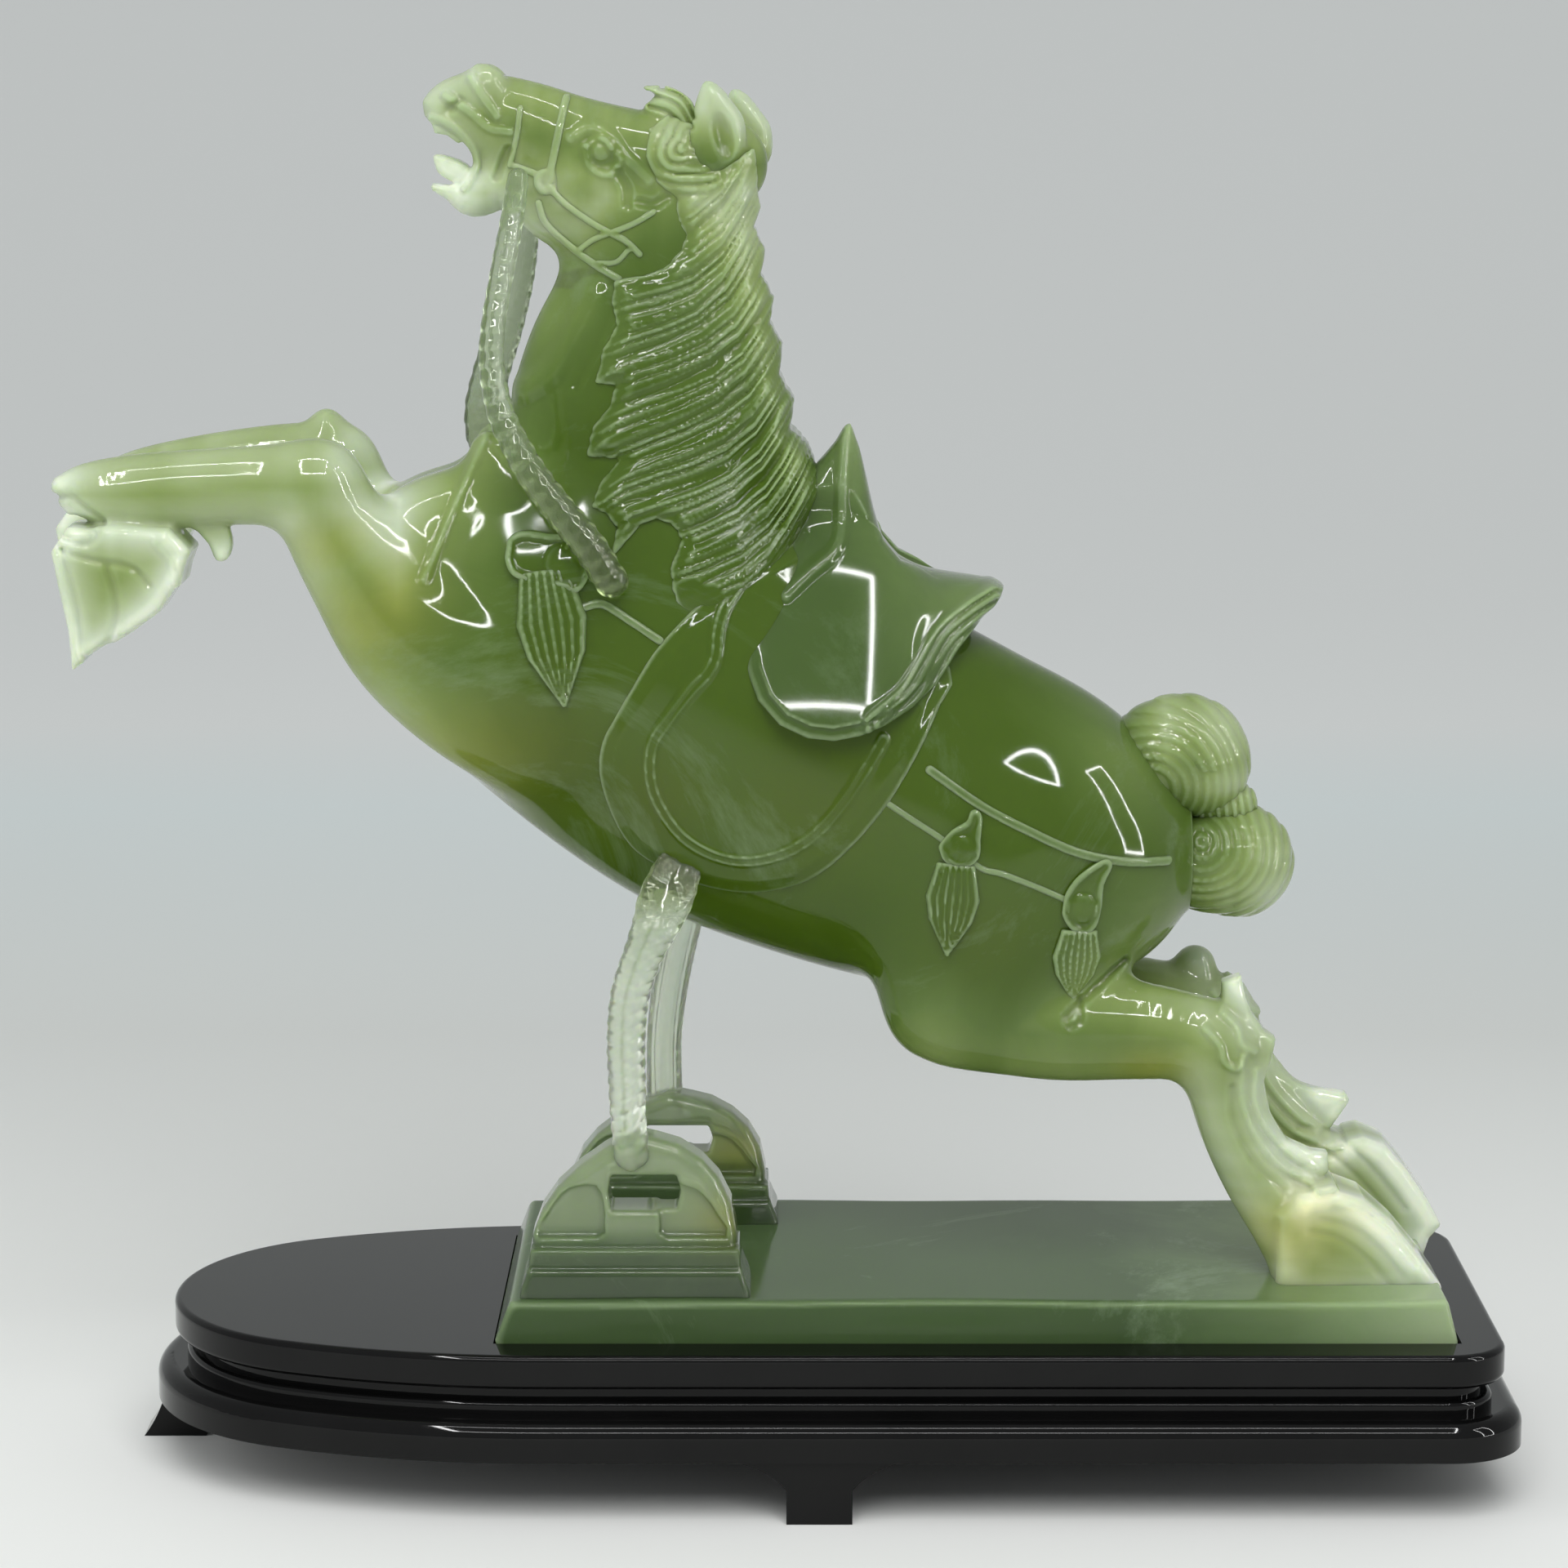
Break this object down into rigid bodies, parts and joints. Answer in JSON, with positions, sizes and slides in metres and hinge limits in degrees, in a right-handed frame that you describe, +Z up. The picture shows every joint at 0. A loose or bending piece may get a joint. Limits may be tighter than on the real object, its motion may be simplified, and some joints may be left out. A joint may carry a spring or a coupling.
{
  "type": "carved stone horse figurine",
  "caption": "Rearing saddled horse carved in green jade with hanging stirrups and a rolled tail, on a black lacquered wooden stand it lifts out of.",
  "frame": {"origin": "on the table under the middle of the whole object's bounding box", "axes": "+Z up, -X the way the horse faces, -Y the horse's left side, which is the side seen first"},
  "size_m": [0.3196, 0.112, 0.3047],
  "materials": {
    "green_jade": "polished translucent",
    "pale_jade": "polished translucent",
    "plinth_jade": "polished translucent",
    "black_lacquer": "gloss lacquer"
  },
  "bodies": {
    "stand": {"stand_top_board": "black_lacquer", "stand_waist": "black_lacquer", "stand_bead": "black_lacquer", "base_rim_left": "black_lacquer", "base_rim_right": "black_lacquer", "front_foot": "black_lacquer", "back_foot": "black_lacquer", "left_foot": "black_lacquer", "right_foot": "black_lacquer"},
    "carving": {"plinth": "plinth_jade", "torso": "green_jade", "neck": "green_jade", "head": "green_jade", "muzzle": "green_jade", "lower_jaw": "green_jade", "near_ear": "green_jade", "far_ear": "green_jade", "mane": "green_jade", "forelock": "green_jade", "saddle": "green_jade", "bridle": "green_jade", "near_saddle_flap": "green_jade", "far_saddle_flap": "green_jade", "near_forearm": "pale_jade", "near_fore_shank": "pale_jade", "near_fore_hoof": "pale_jade", "near_thigh": "pale_jade", "near_gaskin": "pale_jade", "near_hind_shank": "pale_jade", "near_hind_hoof": "pale_jade", "near_rein": "pale_jade", "near_breast_strap": "pale_jade", "near_croup_strap": "pale_jade", "near_hip_strap": "pale_jade", "near_breast_tassel": "pale_jade", "near_hip_tassel": "pale_jade", "near_buttock_tassel": "pale_jade", "near_stirrup_leather": "pale_jade", "near_stirrup": "pale_jade", "far_forearm": "pale_jade", "far_fore_shank": "pale_jade", "far_fore_hoof": "pale_jade", "far_thigh": "pale_jade", "far_gaskin": "pale_jade", "far_hind_shank": "pale_jade", "far_hind_hoof": "pale_jade", "far_rein": "pale_jade", "far_breast_strap": "pale_jade", "far_croup_strap": "pale_jade", "far_hip_strap": "pale_jade", "far_breast_tassel": "pale_jade", "far_hip_tassel": "pale_jade", "far_buttock_tassel": "pale_jade", "far_stirrup_leather": "pale_jade", "far_stirrup": "pale_jade", "tail_upper_bun": "pale_jade", "tail_lower_bun": "pale_jade", "tail_tie": "pale_jade"}
  },
  "joints": [
    {"name": "carving_lift", "type": "slide", "parent": "stand", "child": "carving", "axis": [0, 0, 1], "range_m": [0, 0.04]}
  ]
}
